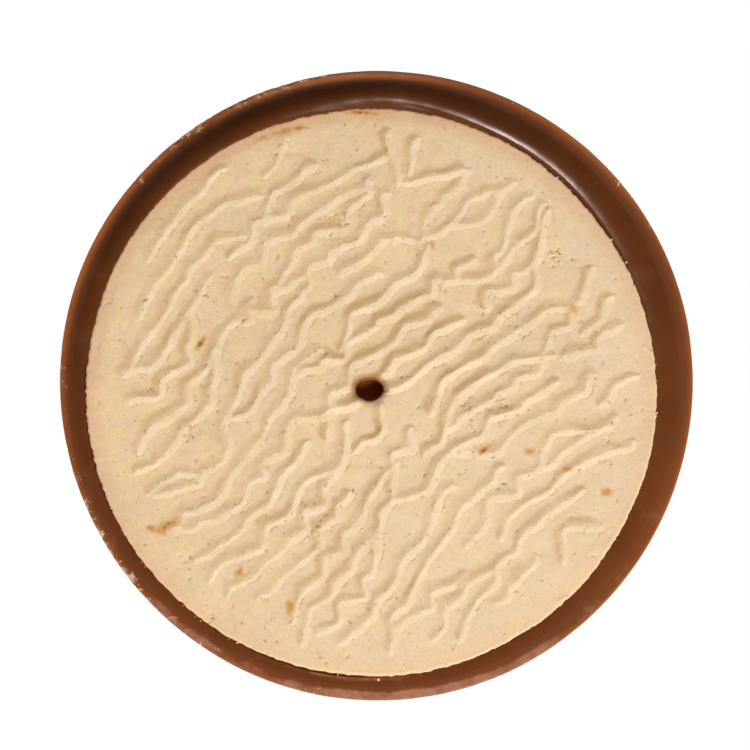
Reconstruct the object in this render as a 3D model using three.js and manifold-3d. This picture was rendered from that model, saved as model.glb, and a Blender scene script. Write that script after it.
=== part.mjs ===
// A round biscuit pressed, underside up, into a moulded chocolate tray.
// Millimetres, +Z up, the origin on the resting plane under the middle of the tray.

import * as THREE from 'three';
import { ParametricGeometry } from 'three/addons/geometries/ParametricGeometry.js';
import { mergeVertices } from 'three/addons/utils/BufferGeometryUtils.js';
import Module from 'manifold-3d';

// Chocolate tray, outside
const trayRadius = 32;           // outer edge of the lip
const wallDraft = 0.5;           // how much narrower the wall is at its foot
const footRounding = 1.3;        // radius of the lower edge
const panelRadius = 25;          // shallow round panel moulded into the underside
const panelDepth = 0.3;
const panelBevel = 0.5;

// Chocolate tray, upper side: a bead beside the biscuit, a shoulder falling outwards, a thin lip
const floorHeight = 1.5;         // chocolate under the biscuit
const grooveHeight = 4.65;       // groove inside the lip
const edgeLift = 0.55;           // how much higher groove and lip are on the high side
const liftFade = 1.5;            // how soon that fades around
const highSide = THREE.MathUtils.degToRad(175);
const shoulderSlope = 0.31;      // rise over run from the groove to the bead
const shoulderSlopeSwing = 0.16; // more of it at +Y, less at -Y
const shoulderPower = 1.5;       // bulge of the shoulder at -Y; towards +Y it turns S-shaped
const shoulderCurl = 0.75;       // how much of an S
const shoulderSteps = 5;
const beadShare = 0.05;          // place of the bead's top between the pocket wall and the tray's edge
const beadRolloff = 0.2;         // how far the bead drops towards the biscuit
const lipWidth = 0.65;
const lipWidthSwing = 0.05;      // the lip is wider at +Y and -Y than at +X and -X
const lipRise = 0.24;            // at the lip's highest place
const lipFade = 12;              // how soon it fades to both sides
const lipMiddle = THREE.MathUtils.degToRad(97);
const lipTopShare = 0.45;        // place of the lip's top within its width
const lipEdgeDrop = 0.1;
const aroundSteps = 84;

// Biscuit
const biscuitRadius = 28.8;
const biscuitThickness = 4.6;
const biscuitCentre = new THREE.Vector2(-0.58, -0.89);  // it sits off the middle of the tray
const pocketGap = 0.28;          // crevice between the biscuit's side and the chocolate
const edgeRounding = 0.25;
const edgeWaves = [              // slow unevenness of the outline: waves around, depth, phase
  { count: 2, depth: 0.09, phase: Math.PI },
  { count: 5, depth: 0.04, phase: 2.1 },
  { count: 11, depth: 0.03, phase: 4.0 },
];

// Docker hole through the biscuit, a little wider than tall
const holeCentre = new THREE.Vector2(-0.79, -0.68);
const holeHalfWidth = 1.35;
const holeFlatness = 0.8;        // height over width
const holeBevel = 0.45;
const holeSides = 18;

// Wavy ridges on the biscuit, laid in lanes
const ridgeSeed = 1982;
const ridgeDirection = THREE.MathUtils.degToRad(45.8);
const ridgeFieldRadius = 26.2;   // lanes end here
const ridgeLimit = 27;           // no ridge crosses this radius, so the border is smooth
const laneCount = 25;
const lanePitch = 2.175;
const laneShift = 0.95;          // the middle lane's distance from the biscuit's centre
const ridgeLength = { least: 6, most: 24 };
const shortestRoom = 3.6;        // a lane's last ridge needs this much of it
const ridgeGap = { least: 0.3, most: 2.4 };
const ridgeSwing = { least: 0.1, most: 0.45 };        // sideways reach of a ridge's own waves
const ridgeSwingLength = { least: 3.2, most: 6.8 };   // length of one wave
const swingSkew = 0.3;           // above 0 makes one flank of a wave steeper
const swingLag = { reach: 1.3, rate: 0.41 };          // waves come sooner and later in turn
const swingFade = { reach: 0.6, rate: 0.29 };         // and grow and shrink
const ridgeHeight = { least: 0.07, most: 0.15 };
const ridgeWidth = 1.15;
const ridgeTopShare = 0.38;      // flat top over foot
const ridgeEndLength = 2.5;      // length over which an end thins out
const ridgeStep = 1.1;           // facet length along a ridge
const ridgeFewestSteps = 4;
const veerChance = 0.55;         // share of ridge ends that lean over to the next lane
const veerReach = 1.95;
const veerLength = 4.2;
const laneBend = { reach: 1.47, rate: 0.17, middle: 10 };                // all lanes bend together
const laneSway = { reach: 0.14, length: 6.5, drift: 0.94, phase: 0.18 }; // and sway, each lane a little later

const fullTurn = 2 * Math.PI;
const biscuitTop = floorHeight + biscuitThickness;
const wasm = await Module();
wasm.setup();

// A number generator that draws the same ridges in every build.
function seededRandom(seed) {
  const multiplier = 1664525;
  const increment = 1013904223;
  const modulus = 2 ** 32;
  let state = seed;
  return () => {
    state = (state * multiplier + increment) % modulus;
    return state / modulus;
  };
}

// A closed solid from a geometry: shared corners are merged and collapsed triangles dropped.
function toSolid(geometry) {
  const bare = geometry.clone();
  bare.deleteAttribute('normal');
  bare.deleteAttribute('uv');
  const merged = mergeVertices(bare, 1e-4);
  const corners = merged.index.array;
  const triangles = [];
  for (let i = 0; i < corners.length; i += 3) {
    const [a, b, c] = corners.slice(i, i + 3);
    if (a !== b && b !== c && c !== a) {
      triangles.push(a, b, c);
    }
  }
  return new wasm.Manifold(new wasm.Mesh({
    numProp: 3,
    vertProperties: new Float32Array(merged.attributes.position.array),
    triVerts: new Uint32Array(triangles),
  }));
}

function toGeometry(solid) {
  const mesh = solid.getMesh();
  const geometry = new THREE.BufferGeometry();
  geometry.setAttribute('position', new THREE.BufferAttribute(mesh.vertProperties, 3));
  geometry.setIndex(new THREE.BufferAttribute(mesh.triVerts, 1));
  geometry.computeVertexNormals();
  return geometry;
}

// A surface through closed rings, each a function of the angle that returns a point.
function loftRings(rings, sides) {
  const steps = rings.length - 1;
  const place = (around, along, target) => {
    const ring = rings[Math.round(along * steps)];
    target.copy(ring(fullTurn * (Math.round(around * sides) % sides) / sides));
  };
  return new ParametricGeometry(place, sides, steps);
}

const circle = (centre, radius, height) => (angle) => new THREE.Vector3(
  centre.x + radius * Math.cos(angle),
  centre.y + radius * Math.sin(angle),
  height,
);

function chocolateTray() {
  const middle = new THREE.Vector2(0, 0);
  const footRadius = trayRadius - wallDraft;
  const pocketRadius = biscuitRadius + pocketGap;

  const underside = [
    circle(middle, 0, panelDepth),
    circle(middle, panelRadius - panelBevel, panelDepth),
    circle(middle, panelRadius, 0),
  ];
  const foot = [0, 1 / 3, 2 / 3, 1].map((share) => {
    const turn = share * Math.PI / 2;
    const radius = footRadius - footRounding * (1 - Math.sin(turn));
    return circle(middle, radius, footRounding * (1 - Math.cos(turn)));
  });

  const lipInset = (angle) => lipWidth - lipWidthSwing * Math.cos(2 * angle);
  const fading = (angle, top, power) => Math.max(0, Math.cos(angle - top)) ** power;
  const grooveLevel = (angle) => grooveHeight + edgeLift * fading(angle, highSide, liftFade);
  const lipLevel = (angle) => grooveLevel(angle) + lipRise * fading(angle, lipMiddle, lipFade);
  const lipRing = (share, level) => (angle) => {
    return circle(middle, trayRadius - share * lipInset(angle), level(angle))(angle);
  };
  const lipEdge = lipRing(0, (angle) => lipLevel(angle) - lipEdgeDrop);
  const lipTop = lipRing(lipTopShare, lipLevel);
  const groove = lipRing(1, grooveLevel);

  // The shoulder: share 0 is the top of the bead, 1 the groove.
  const pocketWall = circle(biscuitCentre, pocketRadius, 0);
  const outerWall = circle(middle, trayRadius, 0);
  const shoulderRing = (share) => (angle) => {
    const foot = groove(angle);
    const point = pocketWall(angle).lerp(outerWall(angle), beadShare).setZ(foot.z);
    const slope = shoulderSlope + shoulderSlopeSwing * Math.sin(angle);
    const rise = slope * point.distanceTo(foot);
    const bulged = share ** shoulderPower;
    const eased = THREE.MathUtils.lerp(share, THREE.MathUtils.smoothstep(share, 0, 1), shoulderCurl);
    const fall = THREE.MathUtils.lerp(bulged, eased, 0.5 + 0.5 * Math.sin(angle));
    point.lerp(foot, share);
    point.z += rise * (1 - fall);
    return point;
  };
  const bead = shoulderRing(0);
  const shoulder = [];
  for (let step = 1; step < shoulderSteps; step += 1) {
    shoulder.push(shoulderRing(1 - step / shoulderSteps));
  }
  const pocketEdge = (angle) => pocketWall(angle).setZ(bead(angle).z - beadRolloff);
  const pocket = [
    pocketEdge,
    circle(biscuitCentre, pocketRadius, floorHeight),
    circle(biscuitCentre, 0, floorHeight),
  ];
  const rings = [...underside, ...foot, lipEdge, lipTop, groove, ...shoulder, bead, ...pocket];
  return toSolid(loftRings(rings, aroundSteps));
}

function biscuitDisc() {
  const edge = (inset, height) => (angle) => {
    const wave = (sum, { count, depth, phase }) => sum + depth * Math.sin(count * angle + phase);
    const radius = edgeWaves.reduce(wave, biscuitRadius - inset);
    return circle(biscuitCentre, radius, height)(angle);
  };
  return toSolid(loftRings([
    circle(biscuitCentre, 0, floorHeight),
    edge(edgeRounding, floorHeight),
    edge(0, floorHeight + edgeRounding),
    edge(0, biscuitTop - edgeRounding),
    edge(edgeRounding, biscuitTop),
    circle(biscuitCentre, 0, biscuitTop),
  ], aroundSteps));
}

function dockerHole() {
  const overshoot = 1;
  const profile = [
    new THREE.Vector2(0, floorHeight - overshoot),
    new THREE.Vector2(holeHalfWidth, floorHeight - overshoot),
    new THREE.Vector2(holeHalfWidth, biscuitTop - holeBevel),
    new THREE.Vector2(holeHalfWidth + holeBevel, biscuitTop),
    new THREE.Vector2(holeHalfWidth + holeBevel, biscuitTop + overshoot),
    new THREE.Vector2(0, biscuitTop + overshoot),
  ];
  const geometry = new THREE.LatheGeometry(profile, holeSides);
  geometry.rotateX(Math.PI / 2);
  geometry.scale(1, holeFlatness, 1);
  geometry.translate(holeCentre.x, holeCentre.y, 0);
  return toSolid(geometry);
}

// The ridges: each lane is filled with wavy lengths and gaps, and some ends lean to the next lane.
function drawRidges() {
  const random = seededRandom(ridgeSeed);
  const pick = ({ least, most }) => least + (most - least) * random();
  const pickVeer = () => {
    const leans = random() < veerChance;
    const side = random() < 0.5 ? -1 : 1;
    return leans ? side * veerReach : 0;
  };
  const ridges = [];
  const offsets = Array.from({ length: laneCount }, (_, lane) => {
    return (lane - (laneCount - 1) / 2) * lanePitch + laneShift;
  });
  for (const offset of offsets.filter((distance) => Math.abs(distance) < ridgeFieldRadius)) {
    const reach = Math.sqrt(ridgeFieldRadius ** 2 - offset ** 2);
    let start = pick(ridgeGap) - reach;
    while (start < reach - shortestRoom) {
      const length = Math.min(pick(ridgeLength), reach - start);
      ridges.push({
        offset,
        start,
        length,
        swing: pick(ridgeSwing),
        swingLength: pick(ridgeSwingLength),
        phase: fullTurn * random(),
        height: pick(ridgeHeight),
        startVeer: pickVeer(),
        endVeer: pickVeer(),
      });
      start += length + pick(ridgeGap);
    }
  }
  return ridges;
}

// The middle line of a ridge on the biscuit: share 0 is its start, 1 its end.
function ridgePoint(ridge, share) {
  const along = ridge.start + share * ridge.length;
  const lean = (distance) => 1 - THREE.MathUtils.smoothstep(distance, 0, veerLength);
  const swayTurn = fullTurn * along / laneSway.length + laneSway.drift * ridge.offset + laneSway.phase;
  const evenTurn = fullTurn * along / ridge.swingLength + ridge.phase;
  const turn = evenTurn + swingLag.reach * Math.sin(swingLag.rate * evenTurn + 2 * ridge.phase);
  const swing = ridge.swing * (1 + swingFade.reach * Math.sin(swingFade.rate * evenTurn));
  const across = ridge.offset
    - laneBend.reach * Math.sin(laneBend.rate * (along - laneBend.middle))
    + laneSway.reach * Math.sin(swayTurn)
    + swing * (Math.sin(turn) + swingSkew * Math.sin(2 * turn))
    + ridge.startVeer * lean(share * ridge.length)
    + ridge.endVeer * lean((1 - share) * ridge.length);
  return new THREE.Vector2(along, across)
    .clampLength(0, ridgeLimit)
    .rotateAround(new THREE.Vector2(), ridgeDirection)
    .add(biscuitCentre);
}

// A ridge as a low solid with a flat-topped section, rounded off to a point at both ends.
function ridgeSolid(ridge) {
  const steps = Math.max(ridgeFewestSteps, Math.round(ridge.length / ridgeStep));
  const section = [            // share of the half width, and height above the biscuit
    { side: 1, height: 0 },
    { side: ridgeTopShare, height: ridge.height },
    { side: -ridgeTopShare, height: ridge.height },
    { side: -1, height: 0 },
  ];
  const rings = [];
  for (let step = 0; step <= steps; step += 1) {
    const share = step / steps;
    const before = ridgePoint(ridge, Math.max(0, share - 0.5 / steps));
    const after = ridgePoint(ridge, Math.min(1, share + 0.5 / steps));
    const heading = after.sub(before).normalize();
    const centre = ridgePoint(ridge, share);
    const fullness = Math.min(1, 2 * Math.sqrt(share * (1 - share) * ridge.length / ridgeEndLength));
    rings.push((angle) => {
      const corner = section[Math.round(angle / fullTurn * section.length) % section.length];
      const sideways = corner.side * fullness * ridgeWidth / 2;
      return new THREE.Vector3(
        centre.x - heading.y * sideways,
        centre.y + heading.x * sideways,
        biscuitTop + corner.height * fullness,
      );
    });
  }
  return toSolid(loftRings(rings, section.length));
}

function biscuit() {
  const ridged = drawRidges().reduce((solid, ridge) => solid.add(ridgeSolid(ridge)), biscuitDisc());
  return ridged.subtract(dockerHole());
}

function piece(name, solid, finish) {
  const mesh = new THREE.Mesh(toGeometry(solid), new THREE.MeshStandardMaterial(finish));
  mesh.name = name;
  return mesh;
}

const cookie = new THREE.Group();
cookie.add(
  piece('chocolate', chocolateTray(), { color: '#6e3d20', roughness: 0.35, metalness: 0 }),
  piece('biscuit', biscuit(), { color: '#e3c59b', roughness: 0.9, metalness: 0 }),
);

export default cookie;
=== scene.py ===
import math

import bpy
import numpy as np
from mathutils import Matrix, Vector


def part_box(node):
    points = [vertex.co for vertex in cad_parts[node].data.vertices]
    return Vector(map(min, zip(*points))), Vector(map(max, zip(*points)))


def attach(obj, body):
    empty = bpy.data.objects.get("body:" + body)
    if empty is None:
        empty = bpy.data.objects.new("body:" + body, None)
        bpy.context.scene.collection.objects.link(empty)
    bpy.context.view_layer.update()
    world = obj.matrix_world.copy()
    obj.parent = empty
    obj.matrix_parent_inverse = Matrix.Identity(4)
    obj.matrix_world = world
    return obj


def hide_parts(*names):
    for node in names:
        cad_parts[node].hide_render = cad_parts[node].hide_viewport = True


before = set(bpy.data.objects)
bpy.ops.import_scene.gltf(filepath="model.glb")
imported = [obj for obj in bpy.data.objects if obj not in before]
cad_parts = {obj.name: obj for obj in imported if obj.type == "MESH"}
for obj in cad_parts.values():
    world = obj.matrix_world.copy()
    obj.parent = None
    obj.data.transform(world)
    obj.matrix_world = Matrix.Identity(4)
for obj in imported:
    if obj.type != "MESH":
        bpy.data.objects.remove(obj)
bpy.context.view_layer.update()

mm = 0.001                          # shapes are worked out in millimetres and stored in metres
fullTurn = 2 * math.pi
quarterTurn = math.pi / 2
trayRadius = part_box("chocolate")[1].x / mm
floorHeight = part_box("biscuit")[0].z / mm      # top of the chocolate under the biscuit


# An eased step: 0 up to the low value, 1 from the high one on.
def smoothStep(low, high, x):
    t = np.clip((x - low) / (high - low), 0, 1)
    return t * t * (3 - 2 * t)


# Smooth random hills from -1 to 1: random heights on a square lattice, eased from point to point.
def hills(x, y, size, seed):
    count = 256                     # lattice points before the hills repeat
    heights = np.random.default_rng(seed).uniform(-1, 1, (count, count))
    u, v = x / size, y / size
    i, j = np.floor(u).astype(int), np.floor(v).astype(int)
    a, b = smoothStep(0, 1, u - i), smoothStep(0, 1, v - j)
    near = heights[i % count, j % count] * (1 - a) + heights[(i + 1) % count, j % count] * a
    far = heights[i % count, (j + 1) % count] * (1 - a) + heights[(i + 1) % count, (j + 1) % count] * a
    return near * (1 - b) + far * b


# Hills of several sizes added up, each with its own height.
def layeredHills(x, y, layers, seed):
    return sum(height * hills(x, y, size, seed + k) for k, (size, height) in enumerate(layers))


# Slow waves around, added up: each has a count, a depth and a phase.
def wavesAround(waves, angle):
    return sum(depth * np.sin(count * angle + phase) for count, depth, phase in waves)


# Strength at an angle of what comes in stretches around: a bell about the middle of each.
def stretchStrength(stretches, angle):
    amount = np.zeros_like(angle)
    for middle, spread, strength in stretches:
        away = (np.degrees(angle) - middle + 180) % 360 - 180
        amount = np.maximum(amount, strength * np.exp(-(away / spread) ** 2))
    return amount


# Points around a middle, each at its own angle and radius.
def ringAt(middle, radius, angle):
    outward = np.stack([np.cos(angle), np.sin(angle)], axis=1)
    return np.asarray(middle) + np.reshape(radius, (-1, 1)) * outward


# Quads between two closed rings of vertex numbers.
def stripQuads(lower, upper):
    return np.stack([lower, np.roll(lower, -1), np.roll(upper, -1), upper], axis=1)


# Triangles from a closed ring to one middle vertex.
def fanTriangles(ring, middle):
    return np.stack([ring, np.roll(ring, -1), np.full(len(ring), middle)], axis=1)


# A smooth mesh object from points in millimetres, quads, triangles and attributes with a value per point.
def makePiece(name, points, quads, triangles, attributes, material, replaced=None):
    mesh = bpy.data.meshes.new(name)
    corners = np.concatenate([quads.ravel(), triangles.ravel()]).astype(np.int32)
    sizes = np.concatenate([np.full(len(quads), 4), np.full(len(triangles), 3)])
    starts = np.concatenate([[0], np.cumsum(sizes)[:-1]]).astype(np.int32)
    mesh.vertices.add(len(points))
    mesh.vertices.foreach_set("co", (points * mm).astype(np.float32).ravel())
    mesh.loops.add(len(corners))
    mesh.loops.foreach_set("vertex_index", corners)
    mesh.polygons.add(len(sizes))
    mesh.polygons.foreach_set("loop_start", starts)
    mesh.update(calc_edges=True)
    mesh.validate()
    mesh.polygons.foreach_set("use_smooth", np.ones(len(mesh.polygons), bool))
    for key, values in attributes.items():
        layer = mesh.attributes.new(key, "FLOAT", "POINT")
        layer.data.foreach_set("value", values.astype(np.float32))
    mesh.materials.append(material)
    piece = bpy.data.objects.new(name, mesh)
    bpy.context.scene.collection.objects.link(piece)
    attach(piece, "root")
    if replaced:
        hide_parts(replaced)
    print(f"{name}: {len(points)} points, {2 * len(quads) + len(triangles)} triangles")


# Biscuit, pressed underside up into the chocolate
biscuit = {
    "radius": 28.8,
    "thickness": 4.6,
    "centre": (-0.58, -0.89),       # it sits off the middle of the tray
    "edgeWaves": [(2, 0.09, math.pi), (5, 0.04, 2.1), (11, 0.03, 4.0)],     # waves around, depth, phase
    "ragged": [(1.7, 0.035), (0.5, 0.06), (0.33, 0.05)],    # size and depth of the crumbly outline
    "edgeRounding": 0.08,
    "roundingShare": 0.9,           # how much of a quarter circle the rounding takes
    "edgeRoll": (1.6, 0.075),       # width and drop of the soft roll inside the edge
    "swells": [(9.0, 0.11), (3.1, 0.05), (1.3, 0.02), (0.6, 0.009)],    # size and height of the unevenness
    "pitCount": 210,
    "patchPits": 18,                # more of them in each crumbly patch
    "pitRadius": (0.07, 0.17),
    "pitStretch": (1, 2.6),         # length over width, along the ridges
    "pitTurn": 0.6,                 # how far pits turn away from the ridges, in radians
    "pitDepth": (0.03, 0.12),
    "gridHalf": 146,                # cells from the middle to the edge
    "holeCells": 9,                 # of those, cells taken by the hole
    "wallLevels": (0.06, 0.25, 0.5, 1),     # shares of the way down the side
    "seed": 31,
    "marginReach": (0.2, 2.6),      # distances from the edge at which the plain border thins out and ends
    "bakedReach": (0.1, 1.7),       # and its browner stretches
    "bakedStretches": [(98, 48, 1.0), (170, 30, 0.35), (-140, 20, 0.2)],    # middle, half spread, strength
    "litSide": (0.85, -0.53),      # painted light: direction towards the lit side, in which the biscuit is painted paler
    "litReach": (-16, 26),         # distances along it at which the painted light starts and ends
    "toastEdge": [(0.9, 0.35), (0.35, 0.3)],        # size and depth of the toasted spots' uneven outline
    "toastedSpots": [               # place, half length, half width, heading in degrees, strength
        (-11.6, 24.8, 1.0, 0.28, 20, 0.75),
        (-9.6, 25.5, 1.5, 0.3, 16, 0.85),
        (-7.9, 25.85, 0.9, 0.25, 5, 0.95),
        (-1.56, 27.44, 1.5, 0.24, -2, 1.5),
        (-17.7, 4.1, 0.95, 0.34, 52, 1.0),
        (-22.6, -14.9, 0.8, 0.4, -15, 0.8),
        (-21.2, -14.6, 1.5, 0.6, 33, 0.95),
        (-13.9, -19.3, 0.9, 0.42, 65, 0.72),
        (-8.7, -22.8, 0.9, 0.55, 90, 0.8),
        (10.8, -6.9, 1.15, 0.34, 33, 1.0),
        (15.4, -7.0, 0.6, 0.5, 0, 0.95),
        (19.2, -8.8, 0.7, 0.35, 0, 0.7),
        (23.2, -11.2, 0.6, 0.42, 0, 0.92),
        (5.6, 13.9, 0.6, 0.35, 95, 0.65),
        (19.9, 7.4, 0.65, 0.5, 20, 0.8),
    ],
    "crumblyPatches": [             # with more pits and loose crumbs: place and half lengths
        (10.2, -2.6, 2.8, 1.1),
        (12.4, 6.6, 1.8, 1.4),
        (18.0, 12.6, 1.2, 0.8),
        (-4.0, 16.5, 1.6, 1.0),
        (-6.5, -15.0, 1.8, 1.0),
        (-19.2, -5.2, 0.9, 0.7),
    ],
    "patchSpread": 0.6,             # how closely pits and crumbs keep to a patch's half lengths
}


# How far out the biscuit's edge lies: a circle with slow waves.
def biscuitReach(angle):
    return biscuit["radius"] + wavesAround(biscuit["edgeWaves"], angle)


# What crumbs add to it: hills along the edge.
def raggedness(angle):
    circle = biscuit["radius"] * np.stack([np.cos(angle), np.sin(angle)])
    return layeredHills(*circle, biscuit["ragged"], biscuit["seed"] + 50)


# The biscuit's outline in plan.
def biscuitEdge(angle):
    return ringAt(biscuit["centre"], biscuitReach(angle) + raggedness(angle), angle)


# Docker hole through the biscuit, with chocolate pushed up into it as a plug
hole = {
    "centre": (-0.79, -0.68),
    "halfWidth": 1.35,
    "flatness": 0.8,                # height over width
    "waves": [(3, 0.015, 0.6), (5, 0.015, 2.0)],    # waves around, share of the width, phase
    "bevel": 0.45,
    "bevelSteps": 5,
    "wallSteps": 6,
    "membrane": 0.05,               # biscuit left under the hole, hidden in the plug
    "mouthDip": (0.5, 0.06),        # width and drop of the soft dip around the mouth
    "mouthShade": (0.2, 0.55),      # reach and strength of the painted shade around it
    "hollowDepths": (-0.3, 0.225),  # depths between which the wall turns brown: part baked crumb, part painted shade
    "plugRise": 1.5,
    "plugSection": [(1.02, 0), (1.02, 1.1), (0.9, 1.02), (0.5, 0.97)],      # shares of half width and rise
    "plugMiddle": 0.95,             # share of the rise in the middle
    "plugBase": 6,                  # half width of the ring about it on the tray's floor
    "plugMatt": 2,
}


# A wavy ellipse about the docker hole.
def holeRing(angle, halfWidth):
    reach = halfWidth * (1 + wavesAround(hole["waves"], angle))
    x = reach * np.cos(angle)
    y = reach * hole["flatness"] * np.sin(angle)
    return np.stack([x, y], axis=1) + hole["centre"]


# Wavy ridges, in the same lanes as on the CAD solid
ridges = {
    "seed": 1982,
    "direction": math.radians(45.8),
    "fieldRadius": 26.2,            # lanes end here
    "limit": 27,                    # no ridge crosses this radius, so the border is smooth
    "laneCount": 25,
    "lanePitch": 2.175,
    "laneShift": 0.95,              # the middle lane's distance from the biscuit's centre
    "length": (6, 24),
    "shortestRoom": 3.6,            # a lane's last ridge needs this much of it
    "gap": (0.3, 2.4),
    "swing": (0.1, 0.45),           # sideways reach of a ridge's own waves
    "swingLength": (3.2, 6.8),      # length of one wave
    "swingSkew": 0.3,               # above 0 makes one flank of a wave steeper
    "lagReach": 1.3,                # waves come sooner and later in turn
    "lagRate": 0.41,
    "fadeReach": 0.6,               # and grow and shrink
    "fadeRate": 0.29,
    "height": (0.05, 0.105),
    "endLength": 2.5,               # length over which an end thins out
    "endWidth": 0.45,               # an end is at least this share of the full width
    "endStrength": 1.3,             # above 1 keeps the ends high for longer
    "veerChance": 0.55,             # share of ridge ends that lean over to the next lane
    "veerReach": 1.95,
    "veerLength": 4.2,
    "bendReach": 1.47,              # all lanes bend together
    "bendRate": 0.17,
    "bendMiddle": 10,
    "swayReach": 0.14,              # and sway, each lane a little later
    "swayLength": 6.5,
    "swayDrift": 0.94,
    "swayPhase": 0.18,
    "lowerFoot": -0.4,              # section, from the lower right to the upper left of the middle line
    "top": 0.28,
    "upperFoot": 1.15,
    "searchReach": 1.4,             # points further off than this times the upper foot are left out
    "creamMiddle": -0.05,           # strip on the ridge painted paler: part paler crumb, part painted highlight of its lit side
    "creamHalf": (0.25, 0.42),      # half widths at which it starts to fade and ends
    "creamTaper": 0.35,             # how much narrower it gets towards the ends
    "creamFar": 1.5,                # distance given to points away from all ridges
    "shadeMiddle": 0.7,             # painted shade: darker strip along the upper left foot, on the side turned from the light
    "shadeHalf": 0.36,
    "shadePatch": 2.6,              # size of the patches in which the painted shade is stronger
    "shadeLevels": (-0.3, 0.5),     # hill heights at which a patch starts and is full
    "shadeShares": (0.4, 0.75),     # strength outside the patches, and how much more inside
    "fewestPoints": 8,
    "pointSpacing": 0.3,
    "crumble": [(2.4, 0.25), (0.8, 0.15)],      # size and share of the unevenness along a ridge
    "crumbleLeast": 0.2,
    "stray": [(1.5, 0.15), (0.55, 0.05)],       # size and reach of the sideways unevenness
    "thickness": (1.7, 0.28),       # size and share of thick and thin along a ridge
    "strength": (0.83, 0.7, 0.45),  # at the edge, how much more in the middle, and spread of that part
    "strengthTilt": 0.16,           # more at the upper right, less at the lower left
    "weakPatch": (11, 0.2),         # size and share of stronger and weaker parts
}


# The same numbers as the CAD source draws, so the ridges lie where its solid has them.
def seededDraws(seed):
    multiplier, increment, modulus = 1664525, 1013904223, 2 ** 32
    state = seed
    while True:
        state = (state * multiplier + increment) % modulus
        yield state / modulus


# Each lane is filled with wavy lengths and gaps, and some ends lean to the next lane.
def drawRidges():
    draws = seededDraws(ridges["seed"])

    def pick(key):
        least, most = ridges[key]
        return least + (most - least) * next(draws)

    def pickVeer():
        leans = next(draws) < ridges["veerChance"]
        side = -1 if next(draws) < 0.5 else 1
        return side * ridges["veerReach"] if leans else 0

    drawn = []
    for lane in range(ridges["laneCount"]):
        offset = (lane - (ridges["laneCount"] - 1) / 2) * ridges["lanePitch"] + ridges["laneShift"]
        if abs(offset) >= ridges["fieldRadius"]:
            continue
        reach = math.sqrt(ridges["fieldRadius"] ** 2 - offset ** 2)
        start = pick("gap") - reach
        while start < reach - ridges["shortestRoom"]:
            length = min(pick("length"), reach - start)
            drawn.append({
                "offset": offset,
                "start": start,
                "length": length,
                "swing": pick("swing"),
                "swingLength": pick("swingLength"),
                "phase": fullTurn * next(draws),
                "height": pick("height"),
                "startVeer": pickVeer(),
                "endVeer": pickVeer(),
            })
            start += length + pick("gap")
    return drawn


# The middle line of a ridge: along its lane, moved sideways by the lanes' bend and sway, its own waves
# and its veers. Fullness is 1 along the ridge and falls to 0 at its ends.
def ridgeLine(ridge):
    count = max(ridges["fewestPoints"], int(ridge["length"] / ridges["pointSpacing"]))
    share = np.linspace(0, 1, count)
    along = ridge["start"] + share * ridge["length"]
    fromStart, fromEnd = share * ridge["length"], (1 - share) * ridge["length"]
    swayTurn = fullTurn * along / ridges["swayLength"]
    swayTurn = swayTurn + ridges["swayDrift"] * ridge["offset"] + ridges["swayPhase"]
    evenTurn = fullTurn * along / ridge["swingLength"] + ridge["phase"]
    turn = evenTurn + ridges["lagReach"] * np.sin(ridges["lagRate"] * evenTurn + 2 * ridge["phase"])
    swing = ridge["swing"] * (1 + ridges["fadeReach"] * np.sin(ridges["fadeRate"] * evenTurn))
    across = (
        ridge["offset"]
        - ridges["bendReach"] * np.sin(ridges["bendRate"] * (along - ridges["bendMiddle"]))
        + ridges["swayReach"] * np.sin(swayTurn)
        + swing * (np.sin(turn) + ridges["swingSkew"] * np.sin(2 * turn))
        + ridge["startVeer"] * (1 - smoothStep(0, ridges["veerLength"], fromStart))
        + ridge["endVeer"] * (1 - smoothStep(0, ridges["veerLength"], fromEnd))
    )
    inward = np.minimum(1, ridges["limit"] / np.hypot(along, across))
    along, across = along * inward, across * inward
    c, s = math.cos(ridges["direction"]), math.sin(ridges["direction"])
    line = np.stack([c * along - s * across, s * along + c * across], axis=1) + biscuit["centre"]
    fullness = np.minimum(1, 2 * np.sqrt(share * (1 - share) * ridge["length"] / ridges["endLength"]))
    return line, fullness
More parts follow.
